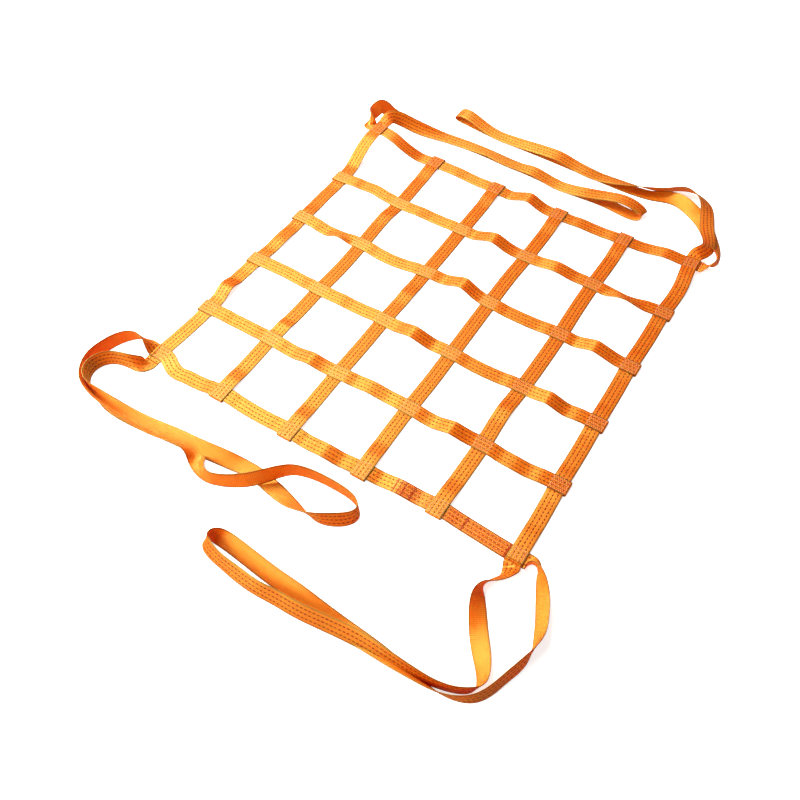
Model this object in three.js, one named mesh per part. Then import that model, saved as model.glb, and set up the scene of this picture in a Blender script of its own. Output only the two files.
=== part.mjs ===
import * as THREE from "three";

// Webbing, mm
const WIDTH = 50;
const THICK = 3;
const HALF = WIDTH / 2;

// Clear space between two pieces of webbing
const GAP = 0.3;
const LAYER = THICK + GAP;

// Grid of the net: six straps each way
const PITCH = 250;
const STRAPS = 6;
const BORDER_LINE = (STRAPS - 1) / 2 * PITCH;
const OUTER = BORDER_LINE + HALF;

// Heights of a strap's middle: on the floor, over one strap, over two
const LEVEL = {
  under: THICK / 2,
  mid: THICK / 2 + LAYER,
  top: THICK / 2 + 2 * LAYER,
};

// A strap changes level in this length, and is level for a margin beside the crossing
const RAMP = 60;
const MARGIN = 25;

// Each corner is held level over its crossing, then falls to the net
const CORNER_FLAT = 60;
const CORNER_REACH = 245;
const BACK_LEFT_LIFT = 50;
const BACK_RIGHT_LIFT = 10;

// Strap ends turn under the border, just clear of its outer edge, and lie below it as tails
const TAIL = WIDTH;
const TURN_CLEAR = 2.4;
const TURN_STEPS = 4;

// A loop starts clear of its border's end and leaves it straight for this length
const BUTT = 0.6;
const LEAD = 8;
const SETTLE_PASSES = 6;
const SMOOTH_PASSES = 2;
const KEPT_STOPS = 3;

// Spacing of the sections along straps and loops
const STEP = { row: 25, column: 50, border: 25, loop: 20 };

// Centre of the grid in the part's frame
const NET_X = 3.8;
const NET_Y = 48.7;

const WEB_COLOUR = 0xf0902c;
const LOOP_COLOUR = 0xe87820;

const clamp01 = (u) => Math.min(1, Math.max(0, u));
const ease = (u) => clamp01(u) ** 2 * (3 - 2 * clamp01(u));
const bump = (u) => Math.max(0, 1 - u * u) ** 2;
const rad = (deg) => deg * Math.PI / 180;
const lineOf = (k) => PITCH * k - BORDER_LINE;

// Smooth curve through rows of numbers, one row at each knot
function slopesOf(knots, rows, flatEnds) {
  const last = rows.length - 1;
  const rise = (i, c) => (rows[i + 1][c] - rows[i][c]) / (knots[i + 1] - knots[i]);
  return rows.map((row, i) => row.map((value, c) => {
    if (i === 0) return flatEnds ? 0 : rise(0, c);
    if (i === last) return flatEnds ? 0 : rise(last - 1, c);
    const before = knots[i] - knots[i - 1];
    const after = knots[i + 1] - knots[i];
    return (rise(i - 1, c) * after + rise(i, c) * before) / (before + after);
  }));
}

function curveAt(knots, rows, slopes, i, t) {
  const h = knots[i + 1] - knots[i];
  const a = 2 * t ** 3 - 3 * t ** 2 + 1;
  const b = t ** 3 - 2 * t ** 2 + t;
  const c = 3 * t ** 2 - 2 * t ** 3;
  const d = t ** 3 - t ** 2;
  return rows[i].map((v, k) => a * v + b * h * slopes[i][k] + c * rows[i + 1][k] + d * h * slopes[i + 1][k]);
}

// A strap's sideways shift, given at its six crossings and midway between them
function swayAt(sway, s) {
  const knots = sway.map((v, k) => lineOf(k / 2));
  const rows = sway.map((v) => [v]);
  const along = Math.min(BORDER_LINE, Math.max(-BORDER_LINE, s));
  const i = Math.min(sway.length - 2, Math.floor((along + BORDER_LINE) / PITCH * 2));
  const t = (along - knots[i]) / PITCH * 2;
  return curveAt(knots, rows, slopesOf(knots, rows, true), i, t)[0];
}

// Crests between crossings: columns at, rise, reach
function crestsAt(crests, s) {
  return crests.reduce((sum, [at, rise, reach]) => sum + rise * bump((s - at) / reach), 0);
}

// One station of a band: its middle, and the way to its left edge; a tilt raises the middle with one edge
function station(axis, along, aside, z, tilt = 0) {
  const flat = Math.cos(rad(tilt));
  const rise = Math.sin(rad(tilt));
  const height = z + HALF * Math.abs(rise);
  if (axis === "x") return { mid: new THREE.Vector3(along, aside, height), across: new THREE.Vector3(0, flat, rise) };
  return { mid: new THREE.Vector3(aside, along, height), across: new THREE.Vector3(-flat, 0, rise) };
}

function evenly(low, high, step) {
  const count = Math.round((high - low) / step);
  return Array.from({ length: count + 1 }, (v, i) => low + (high - low) * i / count);
}

// Border straps
// sway: shift at the crossings and midway, from the low end, mm; drifts: at, shift, reach
// levels, lifts: at the low end and at the high end
const BORDERS = {
  edge_front: {
    axis: "x",
    line: -BORDER_LINE,
    sway: [13, -14, -5, -10, -9, -13, -6, 0, 4, -3, -9],
    drifts: [[-555, -14, 60]],
    levels: [LEVEL.mid, LEVEL.under],
    lifts: [0, 0],
    crests: [[5, 10, 80], [255, 8, 75]],
  },
  edge_back: {
    axis: "x",
    line: BORDER_LINE,
    sway: [0, -12, -4, -5, -12, -10, -15, -10, -9, 0, 3],
    drifts: [],
    levels: [LEVEL.under, LEVEL.under],
    lifts: [BACK_LEFT_LIFT, BACK_RIGHT_LIFT],
    crests: [[15, 24, 82]],
  },
  edge_left: {
    axis: "y",
    line: -BORDER_LINE,
    sway: [-12, -4, 0, -9, -2, 5, 5, 3, 5, -6, -2],
    drifts: [],
    levels: [LEVEL.under, LEVEL.mid],
    lifts: [0, BACK_LEFT_LIFT],
    crests: [[-288, 14, 54], [0, 6, 80]],
  },
  edge_right: {
    axis: "y",
    line: BORDER_LINE,
    sway: [2, 2, -1, 0, -2, -2, -4, -1, -1, 5, -6],
    drifts: [],
    levels: [LEVEL.mid, LEVEL.mid],
    lifts: [0, BACK_RIGHT_LIFT],
    crests: [],
  },
};

function borderLift(border, s) {
  const end = s < 0 ? 0 : 1;
  const fall = (OUTER - Math.abs(s) - CORNER_FLAT) / (CORNER_REACH - CORNER_FLAT);
  return border.lifts[end] * ease(1 - fall);
}

function borderHeight(border, s) {
  const end = s < 0 ? 0 : 1;
  const share = ease((Math.abs(s) - (OUTER - WIDTH - MARGIN - RAMP)) / RAMP);
  const level = LEVEL.mid + (border.levels[end] - LEVEL.mid) * share;
  return level + borderLift(border, s) + crestsAt(border.crests, s);
}

const borderAside = (border, s) => border.line + swayAt(border.sway, s) + crestsAt(border.drifts, s);

function borderPath(border) {
  return evenly(-OUTER, OUTER, STEP.border).map((s) =>
    station(border.axis, s, borderAside(border, s), borderHeight(border, s)));
}

// Inner straps, sewn over the border and turned under it at both ends
// sway: shift at the crossings and midway, from the low end; crests: at, rise, reach; twists: at, tilt, reach
const ROWS = [
  { name: "row_strap_1", line: lineOf(4), sway: [-8, 3, -12, -9, -10, -8, -8, -4, -4, -9, 0],
    crests: [[8, 26, 92], [245, 12, 95]], twists: [[497, -28, 80]] },
  { name: "row_strap_2", line: lineOf(3), sway: [-4, -11, -4, -12, 0, 6, -6, -10, -6, -6, -12],
    crests: [[25, 24, 78], [505, 21, 80]], twists: [[-455, -20, 52]] },
  { name: "row_strap_3", line: lineOf(2), sway: [-4, 1, -4, -3, -2, -7, -6, -10, -5, -10, -9],
    crests: [[-8, 19, 88], [470, 17, 70]], twists: [] },
  { name: "row_strap_4", line: lineOf(1), sway: [-12, -7, -9, -12, -7, 0, -3, -6, 0, -8, -5],
    crests: [[-222, 13, 72], [280, 16, 70]], twists: [] },
];
const COLUMNS = [
  { name: "column_strap_1", line: lineOf(1), sway: [-4, -4, -5, 1, 2, 6, 3, -2, 4, 1, 0], crests: [], twists: [] },
  { name: "column_strap_2", line: lineOf(2), sway: [3, 2, 2, 4, 4, 8, 9, 10, 9, 9, 8], crests: [], twists: [] },
  { name: "column_strap_3", line: lineOf(3), sway: [8, 5, 5, 8, 7, 6, 5, 5, 10, 12, 11], crests: [], twists: [] },
  { name: "column_strap_4", line: lineOf(4), sway: [0, 2, 3, -1, 5, 8, 8, 5, 5, 8, 7], crests: [], twists: [] },
];

// Tail below the border, then the turn round its outer edge; side is -1 or +1
function turnUnder(outer, side) {
  const tail = evenly(outer - TAIL, outer, TAIL / 2).map((s) => [side * s, LEVEL.under]);
  const turn = [];
  for (let i = 1; i < TURN_STEPS; i += 1) {
    const angle = Math.PI * i / TURN_STEPS;
    turn.push([side * (outer + LAYER * Math.sin(angle)), LEVEL.mid - LAYER * Math.cos(angle)]);
  }
  return tail.concat(turn);
}

function innerPath(strap, axis, low, high, level, step) {
  const lowOuter = HALF + TURN_CLEAR - borderAside(low, strap.line + strap.sway[0]);
  const highOuter = HALF + TURN_CLEAR + borderAside(high, strap.line + strap.sway[strap.sway.length - 1]);
  const inset = WIDTH + MARGIN + RAMP;
  const lowRamp = evenly(inset - lowOuter, inset - RAMP - lowOuter, -RAMP / 4).reverse();
  const highRamp = evenly(highOuter - inset, highOuter - inset + RAMP, RAMP / 4);
  const between = evenly(inset - lowOuter, highOuter - inset, step).slice(1, -1);
  const run = [-lowOuter, ...lowRamp, ...between, ...highRamp, highOuter].map((s) => {
    const outer = s < 0 ? lowOuter : highOuter;
    const over = ease((Math.abs(s) - (outer - inset)) / RAMP);
    return [s, level + (LEVEL.top - level) * over + crestsAt(strap.crests, s)];
  });
  const whole = turnUnder(lowOuter, -1).concat(run, turnUnder(highOuter, 1).reverse());
  return whole.map(([s, z]) =>
    station(axis, s, strap.line + swayAt(strap.sway, s), z, crestsAt(strap.twists, s)));
}

// Lifting loops: the border strap leaves the net at a corner, lies out on the floor and comes back
// columns: x, y, lift of the lowest edge (mm), side the left edge points to, tilt of that edge (degrees)
const FRONT_LEFT = [
  [-640, -672, 0, -12, -16],
  [-653, -687, 0, -40, -46],
  [-686, -699, 0, -62, -68],
  [-730, -712, 0, -60, -74],
  [-755, -732, 0, -38, -72],
  [-768, -762, 0, -8, -70],
  [-760, -802, 0, 26, -72],
  [-727, -830, 0, 52, -82],
  [-676, -841, 0, 70, -108],
  [-630, -847, 0, 79, -136],
  [-571, -846, 0, 83, -160],
  [-491, -840, 0, 84, -168],
  [-395, -828, 0, 83, -164],
  [-296, -822, 0, 83, -152],
  [-226, -813, 0, 84, -156],
  [-130, -801, 0, 88, -190],
  [-45, -814, 0, 82, -186],
  [20, -829, 0, 82, -205],
  [75, -838, 0, 86, -240],
  [122, -833, 0, 98, -275],
  [164, -812, 0, 118, -292],
  [196, -787, 0, 145, -290],
  [208, -762, 0, 185, -280],
  [190, -738, 0, 232, -272],
  [154, -727, 0, 258, -270],
  [97, -725, 1, 268, -268],
  [30, -731, 4, 278, -266],
  [-28, -752, 9, 296, -262],
  [-65, -794, 10, 314, -252],
  [-106, -838, 7, 308, -246],
  [-149, -867, 1, 288, -252],
  [-190, -886, 0, 272, -258],
  [-214, -893, 0, 256, -256],
  [-244, -884, 0, 232, -242],
  [-270, -865, 0, 224, -206],
  [-294, -851, 0, 232, -160],
  [-324, -846, 0, 248, -130],
  [-362, -851, 0, 262, -122],
  [-420, -861, 0, 264, -124],
  [-530, -866, 0, 266, -122],
  [-620, -861, 0, 262, -118],
  [-690, -851, 0, 246, -114],
  [-745, -830, 0, 226, -110],
  [-778, -790, 0, 202, -106],
  [-792, -745, 0, 180, -104],
  [-786, -698, 0, 164, -102],
  [-772, -652, 0, 141, -97],
  [-752, -623, 0, 126, -91],
  [-728, -609, 3, 116, -80],
  [-704, -605, 5, 106, -62],
  [-682, -608, 6, 97, -34],
  [-664, -611, 4, 92, -3],
];
const FRONT_RIGHT = [
  [672, -635, 2, 78, -28],
  [686, -641, 3, 45, -75],
  [709, -664, 2, -2, -118],
  [736, -705, 0, -8, -137],
  [762, -759, 0, -2, -131],
  [778, -803, 0, -3, -123],
  [783, -843, 0, -5, -98],
  [777, -889, 0, -10, -76],
  [757, -948, 0, -18, -76],
  [739, -1000, 0, -28, -76],
  [712, -1036, 0, -48, -83],
  [678, -1054, 0, -72, -95],
  [630, -1064, 0, -84, -108],
  [560, -1061, 0, -88, -128],
  [480, -1052, 0, -90, -154],
  [380, -1045, 0, -88, -174],
  [280, -1040, 0, -85, -192],
  [192, -1033, 0, -80, -208],
  [113, -1029, 0, -80, -206],
  [25, -1020, 0, -82, -206],
  [-40, -1014, 0, -80, -208],
  [-72, -1014, 0, -85, -216],
  [-94, -1026, 0, -112, -249],
  [-99, -1044, 0, -140, -240],
  [-72, -1060, 0, -132, -237],
  [-20, -1071, 0, -125, -242],
  [38, -1077, 0, -109, -236],
  [103, -1081, 0, -105, -239],
  [163, -1076, 0, -98, -236],
  [225, -1074, 0, -98, -234],
  [324, -1062, 2, -94, -231],
  [401, -1055, 5, -93, -232],
  [484, -1056, 5, -100, -244],
  [570, -1055, 3, -102, -256],
  [615, -1050, 0, -100, -266],
  [652, -1042, 0, -104, -269],
  [690, -1026, 0, -124, -267],
  [717, -1002, 0, -158, -250],
  [704, -958, 0, -168, -228],
  [676, -918, 0, -158, -204],
  [646, -876, 0, -155, -184],
  [619, -834, 0, -160, -166],
  [600, -802, 0, -170, -146],
  [590, -779, 0, -190, -120],
  [593, -760, 0, -220, -84],
  [605, -741, 0, -238, -60],
  [620, -725, 0, -232, -56],
  [632, -707, 0, -212, -50],
  [635, -688, 2, -196, -36],
  [631, -673, 3, -188, -18],
  [626, -661, 4, -181, -1],
];
const BACK_LEFT = [
  [-626, 674, 52, 176, 10],
  [-623, 692, 50, 165, 28],
  [-613, 711, 42, 145, 46],
  [-593, 724, 30, 120, 56],
  [-562, 733, 18, 104, 50],
  [-520, 742, 9, 95, 36],
  [-475, 752, 6, 91, 18],
  [-436, 761, 5, 90, 6],
  [-390, 768, 4, 90, 2],
  [-316, 773, 4, 90, 0],
  [-241, 772, 4, 90, -8],
  [-152, 760, 4, 90, -9],
  [-98, 760, 8, 90, -5],
  [-50, 760, 15, 90, 3],
  [4, 756, 9, 90, 3],
  [60, 750, 4, 90, 3],
  [104, 747, 8, 93, 3],
  [158, 749, 15, 94, 6],
  [208, 758, 20, 92, 5],
  [258, 769, 28, 90, 0],
  [306, 772, 34, 89, 0],
  [352, 769, 30, 88, 0],
  [382, 763, 19, 88, 0],
  [392, 757, 7, 88, 0],
  [378, 752, 0, 89, 0],
  [322, 752, 0, 90, 0],
  [267, 760, 0, 90, 0],
  [211, 762, 0, 90, 0],
  [149, 759, 0, 90, 0],
  [77, 757, 0, 90, 0],
  [6, 764, 0, 90, 0],
  [-66, 770, 0, 90, 0],
  [-133, 770, 0, 90, 0],
  [-267, 778, 0, 90, 0],
  [-408, 772, 0, 90, 0],
  [-475, 768, 0, 90, 0],
  [-535, 771, 0, 90, 0],
  [-585, 768, 0, 94, 8],
  [-620, 758, 6, 102, 28],
  [-648, 742, 28, 110, 48],
  [-672, 729, 56, 116, 58],
  [-683, 711, 56, 134, 54],
  [-688, 689, 47, 156, 52],
  [-689, 668, 42, 180, 72],
  [-684, 650, 40, 206, 108],
  [-676, 636, 45, 230, 140],
];
const BACK_RIGHT = [
  [631, 677, 13, 186, 20],
  [644, 700, 13, 195, 30],
  [636, 744, 18, 201, 12],
  [608, 797, 22, 202, 0],
  [584, 858, 24, 203, 6],
  [561, 912, 17, 206, 24],
  [538, 940, 8, 226, 36],
  [502, 959, 3, 250, 46],
  [468, 959, 0, 284, 56],
  [440, 940, 0, 303, 60],
  [408, 913, 2, 302, 56],
  [350, 889, 4, 288, 46],
  [299, 879, 5, 274, 32],
  [214, 872, 5, 270, 8],
  [125, 870, 5, 270, -6],
  [60, 878, 7, 270, -8],
  [14, 882, 15, 269, -8],
  [-76, 884, 12, 268, -8],
  [-161, 884, 5, 268, -8],
  [-275, 887, 4, 268, -4],
  [-335, 898, 13, 268, -4],
  [-390, 907, 24, 267, -6],
  [-430, 911, 23, 268, -6],
  [-451, 912, 9, 270, 0],
  [-438, 911, 0, 270, 0],
  [-350, 900, 0, 270, 0],
  [-267, 891, 0, 270, 0],
  [-100, 887, 0, 270, 0],
  [100, 880, 0, 270, 0],
  [300, 874, 0, 270, 0],
  [383, 884, 0, 270, -6],
  [420, 897, 0, 266, -18],
  [462, 898, 0, 258, -34],
  [512, 878, 0, 252, -40],
  [566, 850, 0, 240, -18],
  [612, 806, 0, 226, -8],
  [645, 762, 0, 210, 6],
  [668, 724, 0, 200, 32],
  [684, 692, 0, 190, 62],
  [690, 666, 2, 165, 88],
  [686, 647, 5, 130, 112],
  [673, 635, 8, 102, 144],
];

// start and finish: border, its end (0 low, 1 high), and the side and tilt there
const LOOPS = [
  { name: "loop_front_left", rows: FRONT_LEFT,
    start: ["edge_left", 0, 0, 0], finish: ["edge_front", 0, 90, 0] },
  { name: "loop_front_right", rows: FRONT_RIGHT,
    start: ["edge_front", 1, 90, 0], finish: ["edge_right", 0, -180, 0] },
  { name: "loop_back_left", rows: BACK_LEFT,
    start: ["edge_left", 1, 180, 0], finish: ["edge_back", 0, 270, 180] },
  { name: "loop_back_right", rows: BACK_RIGHT,
    start: ["edge_right", 1, 180, 0], finish: ["edge_back", 1, 90, 180] },
];

// A row where a loop leaves the end of its border strap, a short way out
function meetingRow([name, end, side, tilt], out) {
  const border = BORDERS[name];
  const s = end === 0 ? -OUTER : OUTER;
  const along = s + Math.sign(s) * out;
  const aside = borderAside(border, s);
  const lift = borderHeight(border, s) - LEVEL.under;
  const place = border.axis === "x" ? [along, aside] : [aside, along];
  return [...place, lift, side, tilt];
}

function outward([name, end]) {
  const sign = end === 0 ? -1 : 1;
  return BORDERS[name].axis === "x" ? new THREE.Vector3(sign, 0, 0) : new THREE.Vector3(0, sign, 0);
}

function loopStation([x, y, lift, side, tilt]) {
  const flat = Math.cos(rad(tilt));
  const rise = Math.sin(rad(tilt));
  const height = Math.max(0, lift) + HALF * Math.abs(rise) + LEVEL.under * Math.abs(flat);
  return {
    lift: Math.max(0, lift),
    mid: new THREE.Vector3(x, y, height),
    across: new THREE.Vector3(Math.cos(rad(side)) * flat, Math.sin(rad(side)) * flat, rise),
  };
}

// The way a band runs at a station, the way to its left edge, and the way its sewn face looks
function bearings(path, i) {
  const ahead = path[Math.min(path.length - 1, i + 1)].mid;
  const behind = path[Math.max(0, i - 1)].mid;
  const forward = path[i].run || ahead.clone().sub(behind).normalize();
  const across = path[i].across;
  const left = across.clone().addScaledVector(forward, -across.dot(forward)).normalize();
  return { left, up: forward.clone().cross(left) };
}

// Brings each station's lowest edge to its lift above the floor
function settle(path) {
  for (let pass = 0; pass < SETTLE_PASSES; pass += 1) {
    const heights = path.map((stop, i) => {
      const { left, up } = bearings(path, i);
      return stop.lift + HALF * Math.abs(left.z) + LEVEL.under * Math.abs(up.z);
    });
    path.forEach((stop, i) => stop.mid.setZ(heights[i]));
  }
  return path;
}

// Takes the last kinks out of a settled path, apart from its ends
function smooth(path) {
  const share = (key, i) => path[i - 1][key].clone()
    .addScaledVector(path[i][key], 2).add(path[i + 1][key]).divideScalar(4);
  for (let pass = 0; pass < SMOOTH_PASSES; pass += 1) {
    const first = 1 + KEPT_STOPS;
    const inner = path.slice(first, -first).map((_, i) => ({
      mid: share("mid", i + first),
      across: share("across", i + first),
    }));
    inner.forEach((stop, i) => Object.assign(path[i + first], stop));
  }
  return path;
}

function loopPath(loop) {
  const first = [meetingRow(loop.start, BUTT), meetingRow(loop.start, LEAD)];
  const last = [meetingRow(loop.finish, LEAD), meetingRow(loop.finish, BUTT)];
  const rows = [...first, ...loop.rows, ...last];
  const mids = rows.map((row) => loopStation(row).mid);
  const knots = [0];
  for (let i = 1; i < mids.length; i += 1) knots.push(knots[i - 1] + mids[i].distanceTo(mids[i - 1]));
  const slopes = slopesOf(knots, rows, false);
  const leave = outward(loop.start);
  const arrive = outward(loop.finish).negate();
  slopes[0] = slopes[1] = [leave.x, leave.y, 0, 0, 0];
  slopes[rows.length - 1] = slopes[rows.length - 2] = [arrive.x, arrive.y, 0, 0, 0];
  const path = [];
  for (let i = 0; i < rows.length - 1; i += 1) {
    const count = Math.max(2, Math.ceil((knots[i + 1] - knots[i]) / STEP.loop));
    for (let k = 0; k < count; k += 1) path.push(loopStation(curveAt(knots, rows, slopes, i, k / count)));
  }
  path.push(loopStation(rows[rows.length - 1]));
  for (const stop of path.slice(0, 3)) stop.run = leave;
  for (const stop of path.slice(-3)) stop.run = arrive;
  return smooth(settle(path));
}

// A closed flat band along a path, with square edges and ends
function band(path) {
  const last = path.length - 1;
  const points = [];
  const faces = [];
  path.forEach(({ mid }, i) => {
    const { left, up } = bearings(path, i);
    const corners = [[-1, -1], [1, -1], [1, 1], [-1, 1]];
    for (const [aside, over] of corners) {
      const p = mid.clone().addScaledVector(left, aside * HALF).addScaledVector(up, over * THICK / 2);
      points.push(p.x + NET_X, p.y + NET_Y, Math.max(0, p.z));
    }
  });
  for (let i = 0; i < last; i += 1) {
    for (let k = 0; k < 4; k += 1) {
      const a = i * 4 + k;
      const b = i * 4 + (k + 1) % 4;
      faces.push(a, b, b + 4, a, b + 4, a + 4);
    }
  }
  const end = last * 4;
  faces.push(0, 3, 2, 0, 2, 1);
  faces.push(end, end + 1, end + 2, end, end + 2, end + 3);
  const geometry = new THREE.BufferGeometry();
  geometry.setAttribute("position", new THREE.Float32BufferAttribute(points, 3));
  geometry.setIndex(faces);
  geometry.computeVertexNormals();
  return geometry;
}

const part = new THREE.Group();
part.name = "cargo_net";

function add(name, path, colour) {
  const material = new THREE.MeshStandardMaterial({ color: colour, roughness: 0.6, metalness: 0 });
  const mesh = new THREE.Mesh(band(path), material);
  mesh.name = name;
  part.add(mesh);
}

for (const [name, border] of Object.entries(BORDERS)) add(name, borderPath(border), WEB_COLOUR);
for (const strap of ROWS) {
  add(strap.name, innerPath(strap, "x", BORDERS.edge_left, BORDERS.edge_right, LEVEL.mid, STEP.row), WEB_COLOUR);
}
for (const strap of COLUMNS) {
  const path = innerPath(strap, "y", BORDERS.edge_front, BORDERS.edge_back, LEVEL.under, STEP.column);
  add(strap.name, path, WEB_COLOUR);
}
for (const loop of LOOPS) add(loop.name, loopPath(loop), LOOP_COLOUR);

export default part;
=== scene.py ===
import bisect
import math
import random

import bpy
import bmesh
from mathutils import Matrix, Vector


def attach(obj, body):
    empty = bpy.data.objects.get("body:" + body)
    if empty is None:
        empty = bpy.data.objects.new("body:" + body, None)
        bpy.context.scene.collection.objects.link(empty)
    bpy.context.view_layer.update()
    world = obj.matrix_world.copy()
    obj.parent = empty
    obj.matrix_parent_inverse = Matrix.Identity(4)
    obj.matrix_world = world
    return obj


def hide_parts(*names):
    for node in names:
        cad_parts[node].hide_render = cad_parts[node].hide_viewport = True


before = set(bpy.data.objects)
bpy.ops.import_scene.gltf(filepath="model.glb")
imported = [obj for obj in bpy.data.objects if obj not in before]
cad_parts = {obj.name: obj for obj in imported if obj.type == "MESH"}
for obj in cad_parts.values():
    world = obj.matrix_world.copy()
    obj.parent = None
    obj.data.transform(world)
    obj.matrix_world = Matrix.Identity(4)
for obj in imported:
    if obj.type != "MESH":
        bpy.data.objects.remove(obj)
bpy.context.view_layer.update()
dice = random.Random(7)
mm = 0.001

# The net's grid and webbing, in millimetres, as in the part's source
net = dict(
    width=50.0, thick=3.0, gap=0.3, pitch=250.0, straps=6, centre=(3.8, 48.7),
    ramp=60.0, margin=25.0, cornerFlat=60.0, cornerReach=245.0,
    backLeftLift=50.0, backRightLift=10.0,
    tail=50.0, turnClear=2.4, turnSteps=10,
    butt=0.6, lead=8.0, settlePasses=6, smoothPasses=2, keptStops=3,
    step=6.5, loopStep=20.0, sag=3.1, sagFrom=30.0, sagReach=42.0,
    softBend=2.0, crestBend=1.6,                  # a lower bend makes a sharper crest
)
half = net["width"] / 2
layer = net["thick"] + net["gap"]
borderLine = (net["straps"] - 1) / 2 * net["pitch"]
outer = borderLine + half
underLevel = net["thick"] / 2
midLevel = underLevel + layer
topLevel = underLevel + 2 * layer


def ease(u):
    u = min(1.0, max(0.0, u))
    return u * u * (3 - 2 * u)


def bump(u, bend):
    return max(0.0, 1 - abs(u) ** bend) ** 2


def lineOf(k):
    return net["pitch"] * k - borderLine


def evenly(low, high, step):
    count = max(1, round((high - low) / step))
    return [low + (high - low) * i / count for i in range(count + 1)]


# Smooth curve through rows of numbers, one row at each knot
def slopesOf(knots, rows, flatEnds):
    gaps = [b - a for a, b in zip(knots, knots[1:])]
    rises = [[(b - a) / gap for a, b in zip(row, after)] for gap, row, after in zip(gaps, rows, rows[1:])]
    flat = [0.0] * len(rows[0])
    slopes = [flat if flatEnds else rises[0]]
    for i in range(1, len(rows) - 1):
        before, after = gaps[i - 1], gaps[i]
        slopes.append([(a * after + b * before) / (before + after) for a, b in zip(rises[i - 1], rises[i])])
    return slopes + [flat if flatEnds else rises[-1]]


def curveAt(knots, rows, slopes, i, t):
    h = knots[i + 1] - knots[i]
    a, b = 2 * t ** 3 - 3 * t ** 2 + 1, t ** 3 - 2 * t ** 2 + t
    c, d = 3 * t ** 2 - 2 * t ** 3, t ** 3 - t ** 2
    return [a * v + b * h * slopes[i][k] + c * rows[i + 1][k] + d * h * slopes[i + 1][k]
            for k, v in enumerate(rows[i])]


# Sideways shift of a strap, given at its crossings and midway between them
def swayAt(sway, s):
    knots = [lineOf(k / 2) for k in range(len(sway))]
    rows = [[v] for v in sway]
    along = min(borderLine, max(-borderLine, s))
    i = min(len(sway) - 2, int((along + borderLine) / net["pitch"] * 2))
    t = (along - knots[i]) / net["pitch"] * 2
    return curveAt(knots, rows, slopesOf(knots, rows, True), i, t)[0]


# Webbing sinks to the floor between the straps it crosses
def sagAt(s):
    near = min(abs(s - lineOf(k)) for k in range(net["straps"]))
    return net["sag"] * ease((near - net["sagFrom"]) / net["sagReach"])


# Crests, drifts and twists: where along the strap, how much, and how far each side
def crestsAt(crests, s, bend=net["softBend"]):
    return sum(rise * bump((s - at) / reach, bend) for at, rise, reach in crests)


# A stop along a strap: its middle, and the way to its left edge
def stopAt(axis, along, aside, z, tilt=0.0):
    flat, rise = math.cos(math.radians(tilt)), math.sin(math.radians(tilt))
    height = z + half * abs(rise)
    if axis == "x":
        return dict(mid=Vector((along, aside, height)), across=Vector((0, flat, rise)))
    return dict(mid=Vector((aside, along, height)), across=Vector((-flat, 0, rise)))


# Border straps
borders = {
    "edge_front": dict(
        axis="x", line=-borderLine, levels=(midLevel, underLevel), lifts=(0, 0), bend=net["crestBend"],
        sway=(13, -14, -5, -10, -9, -13, -6, 0, 4, -3, -9), drifts=((-555, -14, 60),),
        crests=((5, 10, 80), (255, 8, 75))),
    "edge_back": dict(
        axis="x", line=borderLine, levels=(underLevel, underLevel),
        lifts=(net["backLeftLift"], net["backRightLift"]), bend=net["crestBend"],
        sway=(0, -12, -4, -5, -12, -10, -15, -10, -9, 0, 3), drifts=(),
        crests=((15, 24, 82), (-289, 3.5, 60), (215, 3.5, 60), (530, 5, 60))),
    "edge_left": dict(
        axis="y", line=-borderLine, levels=(underLevel, midLevel), lifts=(0, net["backLeftLift"]),
        bend=net["softBend"], sway=(-12, -4, 0, -9, -2, 5, 5, 3, 5, -6, -2), drifts=(),
        crests=((-288, 14, 54), (0, 6, 80))),
    "edge_right": dict(
        axis="y", line=borderLine, levels=(midLevel, midLevel), lifts=(0, net["backRightLift"]),
        bend=net["crestBend"], sway=(2, 2, -1, 0, -2, -2, -4, -1, -1, 5, -6), drifts=(),
        crests=()),
}


def borderHeight(border, s):
    end = 0 if s < 0 else 1
    share = ease((abs(s) - (outer - net["width"] - net["margin"] - net["ramp"])) / net["ramp"])
    fall = (outer - abs(s) - net["cornerFlat"]) / (net["cornerReach"] - net["cornerFlat"])
    level = midLevel + (border["levels"][end] - midLevel) * share - sagAt(s) * (1 - share)
    return level + border["lifts"][end] * ease(1 - fall) + crestsAt(border["crests"], s, border["bend"])


def borderAside(border, s):
    return border["line"] + swayAt(border["sway"], s) + crestsAt(border["drifts"], s)


def borderPath(border):
    return [stopAt(border["axis"], s, borderAside(border, s), borderHeight(border, s))
            for s in evenly(-outer, outer, net["step"])]


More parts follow.
